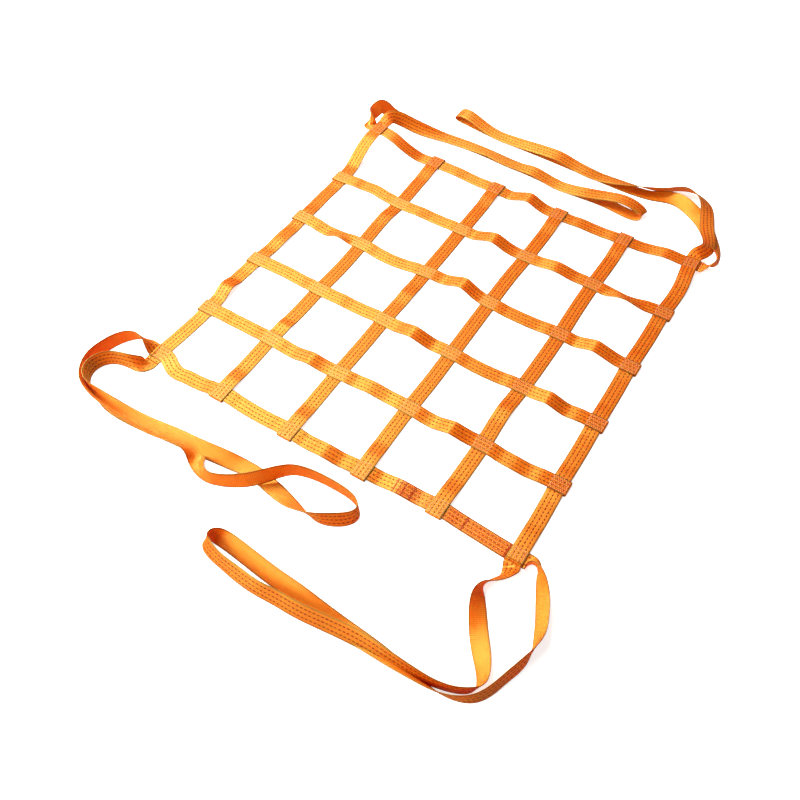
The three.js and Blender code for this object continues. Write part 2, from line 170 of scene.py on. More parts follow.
# Inner straps: rows over columns, ends turned under the border
innerStraps = {
    "row_strap_1": dict(
        axis="x", line=lineOf(4), sway=(-8, 3, -12, -9, -10, -8, -8, -4, -4, -9, 0),
        crests=((8, 26, 92), (245, 12, 95), (-480, 3.5, 60), (-293, 3.5, 60)), twists=((497, -28, 80),)),
    "row_strap_2": dict(
        axis="x", line=lineOf(3), sway=(-4, -11, -4, -12, 0, 6, -6, -10, -6, -6, -12),
        crests=((25, 24, 78), (505, 21, 80)), twists=((-455, -20, 52),)),
    "row_strap_3": dict(
        axis="x", line=lineOf(2), sway=(-4, 1, -4, -3, -2, -7, -6, -10, -5, -10, -9),
        crests=((-8, 19, 88), (470, 17, 70), (-517, 3.5, 55), (-290, 3.5, 52)), twists=()),
    "row_strap_4": dict(
        axis="x", line=lineOf(1), sway=(-12, -7, -9, -12, -7, 0, -3, -6, 0, -8, -5),
        crests=((-222, 13, 72), (280, 16, 70), (-11, 3.5, 65), (489, 3.5, 60)), twists=()),
    "column_strap_1": dict(
        axis="y", line=lineOf(1), sway=(-4, -4, -5, 1, 2, 6, 3, -2, 4, 1, 0),
        crests=((-316, 4, 32), (284, 4, 55)), twists=()),
    "column_strap_2": dict(
        axis="y", line=lineOf(2), sway=(3, 2, 2, 4, 4, 8, 9, 10, 9, 9, 8),
        crests=((9, 4, 55),), twists=()),
    "column_strap_3": dict(
        axis="y", line=lineOf(3), sway=(8, 5, 5, 8, 7, 6, 5, 5, 10, 12, 11),
        crests=(), twists=()),
    "column_strap_4": dict(
        axis="y", line=lineOf(4), sway=(0, 2, 3, -1, 5, 8, 8, 5, 5, 8, 7),
        crests=((-233, 5, 55),), twists=()),
}


# The tail below the border, then the turn round its outer edge
def turnUnder(reach, side):
    stops = [(side * s, underLevel) for s in evenly(reach - net["tail"], reach, net["step"])]
    for i in range(1, net["turnSteps"]):
        angle = math.pi * i / net["turnSteps"]
        stops.append((side * (reach + layer * math.sin(angle)), midLevel - layer * math.cos(angle)))
    return stops


def innerPath(strap):
    isRow = strap["axis"] == "x"
    low, high = ("edge_left", "edge_right") if isRow else ("edge_front", "edge_back")
    level = midLevel if isRow else underLevel
    lowOuter = half + net["turnClear"] - borderAside(borders[low], strap["line"] + strap["sway"][0])
    highOuter = half + net["turnClear"] + borderAside(borders[high], strap["line"] + strap["sway"][-1])
    inset = net["width"] + net["margin"] + net["ramp"]
    run = []
    for s in evenly(-lowOuter, highOuter, net["step"]):
        reach = lowOuter if s < 0 else highOuter
        over = ease((abs(s) - (reach - inset)) / net["ramp"])
        sag = sagAt(s) * (1 - over) if isRow else 0.0
        z = level + (topLevel - level) * over - sag + crestsAt(strap["crests"], s, net["crestBend"])
        run.append((s, z))
    path = []
    for s, z in turnUnder(lowOuter, -1) + run + turnUnder(highOuter, 1)[::-1]:
        aside = strap["line"] + swayAt(strap["sway"], s)
        path.append(stopAt(strap["axis"], s, aside, z, crestsAt(strap["twists"], s)))
    return path


# Lifting loops: x, y, lift of the lowest edge, side the left edge points to, tilt of that edge
loops = {
    "loop_front_left": dict(start=("edge_left", 0, 0, 0), finish=("edge_front", 0, 90, 0), rows=(
        (-640, -672, 0, -12, -16), (-653, -687, 0, -40, -46), (-686, -699, 0, -62, -68),
        (-730, -712, 0, -60, -74), (-755, -732, 0, -38, -72), (-768, -762, 0, -8, -70),
        (-760, -802, 0, 26, -72), (-727, -830, 0, 52, -82), (-676, -841, 0, 70, -108),
        (-630, -847, 0, 79, -136), (-571, -846, 0, 83, -160), (-491, -840, 0, 84, -168),
        (-395, -828, 0, 83, -164), (-296, -822, 0, 83, -152), (-226, -813, 0, 84, -156),
        (-130, -801, 0, 88, -190), (-45, -814, 0, 82, -186), (20, -829, 0, 82, -205),
        (75, -838, 0, 86, -240), (122, -833, 0, 98, -275), (164, -812, 0, 118, -292),
        (196, -787, 0, 145, -290), (208, -762, 0, 185, -280), (190, -738, 0, 232, -272),
        (154, -727, 0, 258, -270), (97, -725, 1, 268, -268), (30, -731, 4, 278, -266),
        (-28, -752, 9, 296, -262), (-65, -794, 10, 314, -252), (-106, -838, 7, 308, -246),
        (-149, -867, 1, 288, -252), (-190, -886, 0, 272, -258), (-214, -893, 0, 256, -256),
        (-244, -884, 0, 232, -242), (-270, -865, 0, 224, -206), (-294, -851, 0, 232, -160),
        (-324, -846, 0, 248, -130), (-362, -851, 0, 262, -122), (-420, -861, 0, 264, -124),
        (-530, -866, 0, 266, -122), (-620, -861, 0, 262, -118), (-690, -851, 0, 246, -114),
        (-745, -830, 0, 226, -110), (-778, -790, 0, 202, -106), (-792, -745, 0, 180, -104),
        (-786, -698, 0, 164, -102), (-772, -652, 0, 141, -97), (-752, -623, 0, 126, -91),
        (-728, -609, 3, 116, -80), (-704, -605, 5, 106, -62), (-682, -608, 6, 97, -34),
        (-664, -611, 4, 92, -3))),
    "loop_front_right": dict(start=("edge_front", 1, 90, 0), finish=("edge_right", 0, -180, 0), rows=(
        (672, -635, 2, 78, -28), (686, -641, 3, 45, -75), (709, -664, 2, -2, -118),
        (736, -705, 0, -8, -137), (762, -759, 0, -2, -131), (778, -803, 0, -3, -123),
        (783, -843, 0, -5, -98), (777, -889, 0, -10, -76), (757, -948, 0, -18, -76),
        (739, -1000, 0, -28, -76), (712, -1036, 0, -48, -83), (678, -1054, 0, -72, -95),
        (630, -1064, 0, -84, -108), (560, -1061, 0, -88, -128), (480, -1052, 0, -90, -154),
        (380, -1045, 0, -88, -174), (280, -1040, 0, -85, -192), (192, -1033, 0, -80, -208),
        (113, -1029, 0, -80, -206), (25, -1020, 0, -82, -206), (-40, -1014, 0, -80, -208),
        (-72, -1014, 0, -85, -216), (-94, -1026, 0, -112, -249), (-99, -1044, 0, -140, -240),
        (-72, -1060, 0, -132, -237), (-20, -1071, 0, -125, -242), (38, -1077, 0, -109, -236),
        (103, -1081, 0, -105, -239), (163, -1076, 0, -98, -236), (225, -1074, 0, -98, -234),
        (324, -1062, 2, -94, -231), (401, -1055, 5, -93, -232), (484, -1056, 5, -100, -244),
        (570, -1055, 3, -102, -256), (615, -1050, 0, -100, -266), (652, -1042, 0, -104, -269),
        (690, -1026, 0, -124, -267), (717, -1002, 0, -158, -250), (704, -958, 0, -168, -228),
        (676, -918, 0, -158, -204), (646, -876, 0, -155, -184), (619, -834, 0, -160, -166),
        (600, -802, 0, -170, -146), (590, -779, 0, -190, -120), (593, -760, 0, -220, -84),
        (605, -741, 0, -238, -60), (620, -725, 0, -232, -56), (632, -707, 0, -212, -50),
        (635, -688, 2, -196, -36), (631, -673, 3, -188, -18), (626, -661, 4, -181, -1))),
    "loop_back_left": dict(start=("edge_left", 1, 180, 0), finish=("edge_back", 0, 270, 180), rows=(
        (-626, 674, 52, 176, 10), (-623, 692, 50, 165, 28), (-613, 711, 42, 145, 46),
        (-593, 724, 30, 120, 56), (-562, 733, 18, 104, 50), (-520, 742, 9, 95, 36),
        (-475, 752, 6, 91, 18), (-436, 761, 5, 90, 6), (-390, 768, 4, 90, 2),
        (-316, 773, 4, 90, 0), (-241, 772, 4, 90, -8), (-152, 760, 4, 90, -9),
        (-98, 760, 8, 90, -5), (-50, 760, 15, 90, 3), (4, 756, 9, 90, 3),
        (60, 750, 4, 90, 3), (104, 747, 8, 93, 3), (158, 749, 15, 94, 6),
        (208, 758, 20, 92, 5), (258, 769, 28, 90, 0), (306, 772, 34, 89, 0),
        (352, 769, 30, 88, 0), (382, 763, 19, 88, 0), (392, 757, 7, 88, 0),
        (378, 752, 0, 89, 0), (322, 752, 0, 90, 0), (267, 760, 0, 90, 0),
        (211, 762, 0, 90, 0), (149, 759, 0, 90, 0), (77, 757, 0, 90, 0),
        (6, 764, 0, 90, 0), (-66, 770, 0, 90, 0), (-133, 770, 0, 90, 0),
        (-267, 778, 0, 90, 0), (-408, 772, 0, 90, 0), (-475, 768, 0, 90, 0),
        (-535, 771, 0, 90, 0), (-585, 768, 0, 94, 8), (-620, 758, 6, 102, 28),
        (-648, 742, 28, 110, 48), (-672, 729, 56, 116, 58), (-683, 711, 56, 134, 54),
        (-688, 689, 47, 156, 52), (-689, 668, 42, 180, 72), (-684, 650, 40, 206, 108),
        (-676, 636, 45, 230, 140))),
    "loop_back_right": dict(start=("edge_right", 1, 180, 0), finish=("edge_back", 1, 90, 180), rows=(
        (631, 677, 13, 186, 20), (644, 700, 13, 195, 30), (636, 744, 18, 201, 12),
        (608, 797, 22, 202, 0), (584, 858, 24, 203, 6), (561, 912, 17, 206, 24),
        (538, 940, 8, 226, 36), (502, 959, 3, 250, 46), (468, 959, 0, 284, 56),
        (440, 940, 0, 303, 60), (408, 913, 2, 302, 56), (350, 889, 4, 288, 46),
        (299, 879, 5, 274, 32), (214, 872, 5, 270, 8), (125, 870, 5, 270, -6),
        (60, 878, 7, 270, -8), (14, 882, 15, 269, -8), (-76, 884, 12, 268, -8),
        (-161, 884, 5, 268, -8), (-275, 887, 4, 268, -4), (-335, 898, 13, 268, -4),
        (-390, 907, 24, 267, -6), (-430, 911, 23, 268, -6), (-451, 912, 9, 270, 0),
        (-438, 911, 0, 270, 0), (-350, 900, 0, 270, 0), (-267, 891, 0, 270, 0),
        (-100, 887, 0, 270, 0), (100, 880, 0, 270, 0), (300, 874, 0, 270, 0),
        (383, 884, 0, 270, -6), (420, 897, 0, 266, -18), (462, 898, 0, 258, -34),
        (512, 878, 0, 252, -40), (566, 850, 0, 240, -18), (612, 806, 0, 226, -8),
        (645, 762, 0, 210, 6), (668, 724, 0, 200, 32), (684, 692, 0, 190, 62),
        (690, 666, 2, 165, 88), (686, 647, 5, 130, 112), (673, 635, 8, 102, 144))),
}


# The row where a loop leaves its border strap, a short way out
def meetingRow(meeting, out):
    name, end, side, tilt = meeting
    border = borders[name]
    s = -outer if end == 0 else outer
    along = s + math.copysign(out, s)
    aside = borderAside(border, s)
    lift = borderHeight(border, s) - underLevel
    place = (along, aside) if border["axis"] == "x" else (aside, along)
    return (*place, lift, side, tilt)


def outwardOf(meeting):
    sign = -1 if meeting[1] == 0 else 1
    return Vector((sign, 0, 0)) if borders[meeting[0]]["axis"] == "x" else Vector((0, sign, 0))


# A stop along a loop also keeps its lift, to be settled once its neighbours are known
def loopStop(row):
    x, y, lift, side, tilt = row
    flat, rise = math.cos(math.radians(tilt)), math.sin(math.radians(tilt))
    lift = max(0.0, lift)
    height = lift + half * abs(rise) + underLevel * abs(flat)
    across = Vector((math.cos(math.radians(side)) * flat, math.sin(math.radians(side)) * flat, rise))
    return dict(mid=Vector((x, y, height)), across=across, lift=lift)


# The way to the left edge and the way up from the sewn face
def bearingsAt(path, i):
    ahead, behind = path[min(len(path) - 1, i + 1)]["mid"], path[max(0, i - 1)]["mid"]
    forward = path[i].get("run") or (ahead - behind).normalized()
    across = path[i]["across"]
    left = (across - forward * across.dot(forward)).normalized()
    return left, forward.cross(left)


def runsAlong(mids):
    runs = [0.0]
    for a, b in zip(mids, mids[1:]):
        runs.append(runs[-1] + (b - a).length)
    return runs


# Brings the lowest edge of a loop to its lift
def settle(path):
    heights = []
    for i, stop in enumerate(path):
        left, up = bearingsAt(path, i)
        heights.append(stop["lift"] + half * abs(left.z) + underLevel * abs(up.z))
    for stop, height in zip(path, heights):
        stop["mid"].z = height


# Takes the last kinks out, away from the ends
def soften(path):
    kept = net["keptStops"] + 1
    eased = []
    for before, stop, after in zip(path, path[1:], path[2:]):
        eased.append([(before[key] + stop[key] * 2 + after[key]) / 4 for key in ("mid", "across")])
    for stop, (mid, across) in zip(path[kept:-kept], eased[kept - 1:]):
        stop["mid"], stop["across"] = mid, across


def loopPath(loop):
    start, finish = loop["start"], loop["finish"]
    rows = [meetingRow(start, net["butt"]), meetingRow(start, net["lead"]), *loop["rows"],
            meetingRow(finish, net["lead"]), meetingRow(finish, net["butt"])]
    knots = runsAlong([loopStop(row)["mid"] for row in rows])
    slopes = slopesOf(knots, rows, False)
    leave, arrive = outwardOf(start), -outwardOf(finish)
    slopes[0] = slopes[1] = [leave.x, leave.y, 0.0, 0.0, 0.0]
    slopes[-1] = slopes[-2] = [arrive.x, arrive.y, 0.0, 0.0, 0.0]
    path = []
    for i in range(len(rows) - 1):
        count = max(2, math.ceil((knots[i + 1] - knots[i]) / net["loopStep"]))
        path += [loopStop(curveAt(knots, rows, slopes, i, k / count)) for k in range(count)]
    path.append(loopStop(rows[-1]))
    for first, final in zip(path[:net["keptStops"]], path[-net["keptStops"]:]):
        first["run"], final["run"] = leave, arrive
    for _ in range(net["settlePasses"]):
        settle(path)
    for _ in range(net["smoothPasses"]):
        soften(path)
    return smoothPath(path)


# Finer stops along smooth curves through both edges of a path
def smoothPath(path):
    lefts = [bearingsAt(path, i)[0] for i in range(len(path))]
    rims = [[stop["mid"] + left * (half * sign) for stop, left in zip(path, lefts)] for sign in (1, -1)]
    knots = runsAlong([stop["mid"] for stop in path])
    slopes = [slopesOf(knots, rim, False) for rim in rims]
    fine = []
    for i in range(len(path) - 1):
        count = max(1, math.ceil((knots[i + 1] - knots[i]) / net["step"]))
        for k in range(count + (i == len(path) - 2)):
            a, b = (Vector(curveAt(knots, rim, slope, i, k / count)) for rim, slope in zip(rims, slopes))
            fine.append(dict(mid=(a + b) / 2, across=(a - b).normalized()))
    fine[0]["run"], fine[-1]["run"] = path[0]["run"], path[-1]["run"]
    return fine


# Section of the webbing, right edge first, then along the plain face and back along the sewn face
section = ((-25, 0), (-24.6, -0.9), (-23.4, -1.4), (-15, -1.5), (-5, -1.5), (5, -1.5), (15, -1.5),
           (23.4, -1.4), (24.6, -0.9), (25, 0), (24.6, 0.9), (23.4, 1.4), (15, 1.5), (5, 1.5),
           (-5, 1.5), (-15, 1.5), (-23.4, 1.4), (-24.6, 0.9))


def toFrame(p):
    return Vector((p.x + net["centre"][0], p.y + net["centre"][1], max(0.0, p.z))) * mm


# A band keeps its stops with their bearings, and the length run so far at each
def bandOf(path):
    runs = runsAlong([stop["mid"] for stop in path])
    return [(run, stop["mid"], *bearingsAt(path, i)) for i, (run, stop) in enumerate(zip(runs, path))]


def bandPoint(stops, run, aside):
    i = min(len(stops) - 2, max(0, bisect.bisect_right([s[0] for s in stops], run) - 1))
    a, b = stops[i], stops[i + 1]
    t = (run - a[0]) / max(1e-6, b[0] - a[0])
    left = a[2].lerp(b[2], t).normalized()
    up = a[3].lerp(b[3], t).normalized()
    return a[1].lerp(b[1], t) + left * aside, left, up


def newObject(name, verts, faces, material):
    mesh = bpy.data.meshes.new(name)
    mesh.from_pydata([tuple(v) for v in verts], [], faces)
    mesh.materials.append(material)
    piece = bpy.data.objects.new(name, mesh)
    bpy.context.scene.collection.objects.link(piece)
    for polygon in mesh.polygons:
        polygon.use_smooth = True
    return piece


# Place across the weave: 0 to 1 over the sewn face, then 1 to 2 back over the plain face
def weaveAcross(k, plain):
    share = (section[k][0] + half) / net["width"]
    return 2 - share if plain else share


def makeBand(name, stops, material):
    count = len(section)
    verts, faces, places = [], [], []
    for run, mid, left, up in stops:
        verts += [toFrame(mid + left * a + up * h) for a, h in section]
    for i in range(len(stops) - 1):
        near, far = stops[i][0] * mm, stops[i + 1][0] * mm
        for k in range(count):
            n = (k + 1) % count
            faces.append((i * count + k, i * count + n, (i + 1) * count + n, (i + 1) * count + k))
            plain = k < count // 2
            here, there = weaveAcross(k, plain), weaveAcross(n, plain)
            places += [(near, here), (near, there), (far, there), (far, here)]
    last = (len(stops) - 1) * count
    faces.append(tuple(range(count))[::-1])
    faces.append(tuple(last + k for k in range(count)))
    places += [(stops[0][0] * mm, 0.0)] * count + [(stops[-1][0] * mm, 0.0)] * count
    piece = newObject(name, verts, faces, material)
    weave = piece.data.uv_layers.new(name="weave")
    for corner, place in zip(weave.data, places):
        corner.uv = place
    for polygon in piece.data.polygons[-2:]:          # the cut ends
        polygon.use_smooth = False
    return piece


# A short thread on a band: a low closed ridge with drawn-in ends, its foot sunk in the cloth
thread = dict(shoulders=(0.14, 0.86), foot=0.5, sink=0.1, ridge=((-0.3, 0.75), (0.0, 1.0), (0.3, 0.75)))


def addThread(verts, faces, stops, runs, asides, width, height):
    first = len(verts)

    def along(t):
        run, aside = (a + (b - a) * t for a, b in (runs, asides))
        p, left, up = bandPoint(stops, run, aside)
        return p + up * (net["thick"] / 2), up

    foot, sink = thread["foot"], thread["sink"]
    profile = [(-foot, -sink), *((a, h * height) for a, h in thread["ridge"]), (foot, -sink)]
    size = len(profile)
    start, startUp = along(0)
    finish, finishUp = along(1)
    forward = (finish - start).normalized()
    verts.append(start - startUp * sink)
    for t in thread["shoulders"]:
        p, up = along(t)
        side = up.cross(forward).normalized()
        verts += [p + side * (a * width) + up * h for a, h in profile]
    verts.append(finish - finishUp * sink)
    near, far, end = first + 1, first + 1 + size, first + 1 + 2 * size
    for k in range(size):
        n = (k + 1) % size
        faces.append((first, near + n, near + k))
        faces.append((near + k, near + n, far + n, far + k))
        faces.append((far + k, far + n, end))


def finishThreads(name, verts, faces, material):
    piece = newObject(name, [toFrame(v) for v in verts], faces, material)
    shape = bmesh.new()
    shape.from_mesh(piece.data)
    bmesh.ops.recalc_face_normals(shape, faces=shape.faces)
    shape.to_mesh(piece.data)
    shape.free()
    return piece


# Materials
def linear(code):
    channels = [int(code[i:i + 2], 16) / 255 for i in (1, 3, 5)]
    return tuple(c / 12.92 if c <= 0.04045 else ((c + 0.055) / 1.055) ** 2.4 for c in channels) + (1.0,)


def addNode(tree, kind, settings=None, links=None):
    node = tree.nodes.new(kind)
    for name, value in (settings or {}).items():
        if isinstance(name, int) or name in node.inputs:
            node.inputs[name].default_value = value
        else:
            setattr(node, name, value)
    for socket, source in (links or {}).items():
        tree.links.new(source, node.inputs[socket])
    return node


def newMaterial(name):
    material = bpy.data.materials.new(name)
    material.use_nodes = True
    material.node_tree.nodes.clear()
    return material, material.node_tree


# Pitches and streaks are in metres; bands across the weave are shares of the width
webbingLook = dict(
    face="#be5a0a", deep="#b85107", pale="#c4640c", hueStops=(0.3, 0.52, 0.75), streak=(0.025, 0.003846),
    ribPitch=0.0052, warpPitch=0.0024, ribDepth=0.5, plainRibDepth=0.9, warpDepth=0.5,
    weaveShade=(0.78, 1.08), weaveRange=1.6, relief=0.0004, reliefStrength=0.5,
    mark="#8e3404", markSpacing=0.125, markBand=(0.03, 0.065), markStrength=0.4,
    # painted shade along both edges of a band: its colour, how far in it reaches and how strong it is
    edgeShade="#5c3414", edgeShadeBand=(0.065, 0.1), edgeShadeStrength=0.75,
    roughness=0.43, anisotropy=0.8, turn=0.25, sheen=0.95, sheenTint=(1.0, 0.94, 0.16, 1.0),
    glow=0.55, glowReach=(1.0, 0.1, 0.03), glowDepth=0.012,
)
waveScale = 0.31416                               # the wave texture's scale for a pitch of one unit


# Woven polyester webbing: satin floats along the strap, fine ribs across it with painted shade in their
# grooves, painted shade along both edges, and a red glow where light comes through the cloth
def makeWebbing(name, look):
    material, tree = newMaterial(name)
    uv = addNode(tree, "ShaderNodeUVMap", dict(uv_map="weave"))
    parts = addNode(tree, "ShaderNodeSeparateXYZ", links={0: uv.outputs[0]})
    along, across = parts.outputs[0], parts.outputs[1]
    metres = addNode(tree, "ShaderNodeMath", {"operation": "MULTIPLY", 1: net["width"] * mm}, {0: across})
    place = addNode(tree, "ShaderNodeCombineXYZ", links={0: along, 1: metres.outputs[0]})

    # ribs and warp ends are drawn near twice their real pitch so that they show
    ribs = addNode(tree, "ShaderNodeTexWave", {
        "bands_direction": "X", "Scale": waveScale / look["ribPitch"],
        "Distortion": 1.2, "Detail": 1.0, "Detail Scale": 2.0}, {"Vector": place.outputs[0]})
    warp = addNode(tree, "ShaderNodeTexWave", {
        "bands_direction": "Y", "Scale": waveScale / look["warpPitch"],
        "Distortion": 0.6}, {"Vector": place.outputs[0]})
    plain = addNode(tree, "ShaderNodeMath", {"operation": "GREATER_THAN", 1: 1.0}, {0: across})
    depth = addNode(tree, "ShaderNodeMath", {
        "operation": "MULTIPLY_ADD", 1: look["plainRibDepth"], 2: look["ribDepth"]}, {0: plain.outputs[0]})
    ridges = addNode(tree, "ShaderNodeMath", {"operation": "MULTIPLY"},
                     {0: ribs.outputs[1], 1: depth.outputs[0]})
    weave = addNode(tree, "ShaderNodeMath", {"operation": "MULTIPLY_ADD", 1: look["warpDepth"]},
                    {0: warp.outputs[1], 2: ridges.outputs[0]})

    # streaks of deeper and paler yarn lie along the strap
    streakLength, streakWidth = look["streak"]
    spread = addNode(tree, "ShaderNodeMapping", {"Scale": (1 / streakLength, 1 / streakWidth, 1.0)},
                     {"Vector": place.outputs[0]})
    streaks = addNode(tree, "ShaderNodeTexNoise", {"Scale": 1.0, "Detail": 3.0, "Roughness": 0.6},
                      {"Vector": spread.outputs[0]})
    hue = addNode(tree, "ShaderNodeValToRGB", links={0: streaks.outputs[0]})
    ramp = hue.color_ramp.elements
    ramp.new(look["hueStops"][1])
    for stop, position, colour in zip(ramp, look["hueStops"], ("deep", "face", "pale")):
        stop.position = position
        stop.color = linear(look[colour])
    # the weave's relief is also painted into the colour as shade, darker in the grooves between the ribs
    shade = addNode(tree, "ShaderNodeMapRange", {
        "From Min": 0.0, "From Max": look["weaveRange"],
        "To Min": look["weaveShade"][0], "To Max": look["weaveShade"][1]}, {"Value": weave.outputs[0]})
    yarnAndGrooveShade = addNode(tree, "ShaderNodeMix", {"data_type": "RGBA", "blend_type": "MULTIPLY", 0: 1.0},
                   {6: hue.outputs[0], 7: shade.outputs[0]})

    # the marker ends lie in shallow darker stripes, a quarter of the width apart, on the sewn face
    quarter = addNode(tree, "ShaderNodeMath", {"operation": "PINGPONG", 1: look["markSpacing"]}, {0: across})
    stripe = addNode(tree, "ShaderNodeMapRange", {
        "From Min": look["markBand"][0], "From Max": look["markBand"][1],
        "To Min": look["markStrength"], "To Max": 0.0}, {"Value": quarter.outputs[0]})
    sewn = addNode(tree, "ShaderNodeMath", {"operation": "SUBTRACT", 0: 1.0}, {1: plain.outputs[0]})
    mark = addNode(tree, "ShaderNodeMath", {"operation": "MULTIPLY"},
                   {0: stripe.outputs[0], 1: sewn.outputs[0]})
    lined = addNode(tree, "ShaderNodeMix", {"data_type": "RGBA", 7: linear(look["mark"])},
                    {0: mark.outputs[0], 6: yarnAndGrooveShade.outputs[2]})
    # painted shade along both edges of the band, darkest at the edge and fading over the first few
    # millimetres
    wrapped = addNode(tree, "ShaderNodeMath", {"operation": "PINGPONG", 1: 0.5}, {0: across})
    edge = addNode(tree, "ShaderNodeMapRange", {
        "From Min": look["edgeShadeBand"][0], "From Max": look["edgeShadeBand"][1],
        "To Min": look["edgeShadeStrength"], "To Max": 0.0}, {"Value": wrapped.outputs[0]})
    skin = addNode(tree, "ShaderNodeMix", {"data_type": "RGBA", 7: linear(look["edgeShade"])},
                   {0: edge.outputs[0], 6: lined.outputs[2]})

    relief = addNode(tree, "ShaderNodeBump", {
        "Strength": look["reliefStrength"], "Distance": look["relief"]}, {"Height": weave.outputs[0]})
    grain = addNode(tree, "ShaderNodeTangent", dict(direction_type="UV_MAP", uv_map="weave"))
    shader = addNode(tree, "ShaderNodeBsdfPrincipled", {
        "Roughness": look["roughness"], "IOR": 1.5,
        "Anisotropic": look["anisotropy"], "Anisotropic Rotation": look["turn"],
        "Specular IOR Level": look["sheen"], "Specular Tint": look["sheenTint"],
        "Subsurface Weight": look["glow"], "Subsurface Radius": look["glowReach"],
        "Subsurface Scale": look["glowDepth"]},
        {"Base Color": skin.outputs[2], "Normal": relief.outputs[0], "Tangent": grain.outputs[0]})
    addNode(tree, "ShaderNodeOutputMaterial", links={0: shader.outputs[0]})
    return material


threadLook = dict(roughness=0.6, shine=0.1, relief=0.0002, reliefStrength=0.3)


# Polyester sewing thread: twisted filament, duller than the satin cloth, with a faint twist
# that is drawn coarser than it is so that it shows
def makeThread(name, light, dark, twist):
    material, tree = newMaterial(name)
    place = addNode(tree, "ShaderNodeTexCoord")
    lay = addNode(tree, "ShaderNodeTexNoise", {"Scale": 1.0 / twist, "Detail": 2.0},
                  {"Vector": place.outputs["Object"]})
    colour = addNode(tree, "ShaderNodeMix", {"data_type": "RGBA", 6: linear(dark), 7: linear(light)},
                     {0: lay.outputs[0]})
    relief = addNode(tree, "ShaderNodeBump", {
        "Strength": threadLook["reliefStrength"], "Distance": threadLook["relief"]},
        {"Height": lay.outputs[0]})
    shader = addNode(tree, "ShaderNodeBsdfPrincipled", {
        "Roughness": threadLook["roughness"], "IOR": 1.5, "Specular IOR Level": threadLook["shine"]},
        {"Base Color": colour.outputs[2], "Normal": relief.outputs[0]})
    addNode(tree, "ShaderNodeOutputMaterial", links={0: shader.outputs[0]})
    return material


webbing = makeWebbing("orange_polyester_webbing", webbingLook)
markerThread = makeThread("brown_marker_thread", "#7a2c02", "#5e1e01", 0.004)
sewingThread = makeThread("peach_sewing_thread", "#f4a57c", "#e68a60", 0.003)
barThread = makeThread("red_bar_thread", "#94280a", "#761a05", 0.003)
print("materials made")

# Bands of the net and its loops
paths = {name: borderPath(border) for name, border in borders.items()}
paths.update({name: innerPath(strap) for name, strap in innerStraps.items()})
paths.update({name: loopPath(loop) for name, loop in loops.items()})
bands = {name: bandOf(path) for name, path in paths.items()}
pieces = {name: makeBand("webbing_" + name, stops, webbing) for name, stops in bands.items()}
print("bands made:", len(pieces))

# Marker dashes woven in three lines along the sewn face: how far aside, and how much of a pitch later
dash = dict(
    lines=((-12.5, 0.0), (0.0, 0.5), (12.5, 0.25)), pitch=12.2, length=8.0, width=3.7, height=0.28,
    spread=(0.85, 1.1), wander=0.35, tailClear=6.0, endClear=1.0, floorClear=0.05,
)


def makeDashes(name, stops):
    verts, faces = [], []
    skip = net["tail"] + dash["tailClear"] if name in innerStraps else dash["endClear"]
    final = stops[-1][0] - skip
    for aside, phase in dash["lines"]:
        run = skip + dash["pitch"] * phase
        while run + dash["length"] < final:
            length = dash["length"] * dice.uniform(*dash["spread"])
            p, left, up = bandPoint(stops, run + length / 2, aside)
            crown = p.z + up.z * (net["thick"] / 2 + dash["height"])
            if crown > dash["floorClear"]:            # none where the sewn face lies on the floor
                shifted = aside + dice.uniform(-dash["wander"], dash["wander"])
                width = dash["width"] * dice.uniform(*dash["spread"])
                addThread(verts, faces, stops, (run, run + length), (shifted, shifted), width, dash["height"])
            run += dash["pitch"]
    return finishThreads("marker_dashes_" + name, verts, faces, markerThread)


extras = {name: [makeDashes(name, stops)] for name, stops in bands.items()}
print("dashes made")

# Sewn patches where straps cross: lines of stitches along the upper strap, closed by a line across
# the dark dots between stitches are painted shade of the needle holes, made as low ridges in the bar thread's
# colour
patch = dict(
    reach=27.0, lines=(-20, -13.5, -7, 0, 7, 13.5, 20), pitch=6.2, length=4.6, width=1.5, height=0.28,
    lean=0.5, spread=(0.96, 1.04), endClear=1.0, holeShadeWidth=2.2, holeShadeHeight=0.16,
    crossLines=(-24, 24), crossFrom=-21.0, crossTo=22.0, crossPitch=5.2, crossLength=4.0, crossLean=0.4,
)
columns = ["column_strap_%d" % k for k in range(1, 5)]
rows = ["row_strap_%d" % k for k in range(4, 0, -1)]
crossedByRows = ["edge_left", *columns, "edge_right"]
crossedByColumns = ["edge_front", *rows, "edge_back"]
firstAndLast = (0, net["straps"] - 1)
sewnCrossings = dict(edge_front=firstAndLast[:1], edge_left=firstAndLast[1:], edge_right=firstAndLast)
sewnCrossings.update({name: range(net["straps"]) for name in rows})
sewnCrossings.update({name: firstAndLast for name in columns})


# The stop nearest a place along one axis, where the sewn face looks up
def stopNear(stops, axis, at):
    facing = [stop for stop in stops if stop[3].z > 0.5]
    return min(facing, key=lambda stop: abs(stop[1][axis] - at))


def crossingRuns(name):
    stops = bands[name]
    isRow = {**borders, **innerStraps}[name]["axis"] == "x"
    axis, across = (0, 1) if isRow else (1, 0)
    crossed = crossedByRows if isRow else crossedByColumns
    line = stops[len(stops) // 2][1][across]
    middles = [stopNear(bands[crossed[k]], across, line)[1][axis] for k in sewnCrossings[name]]
    return [stopNear(stops, axis, middle)[0] for middle in middles]


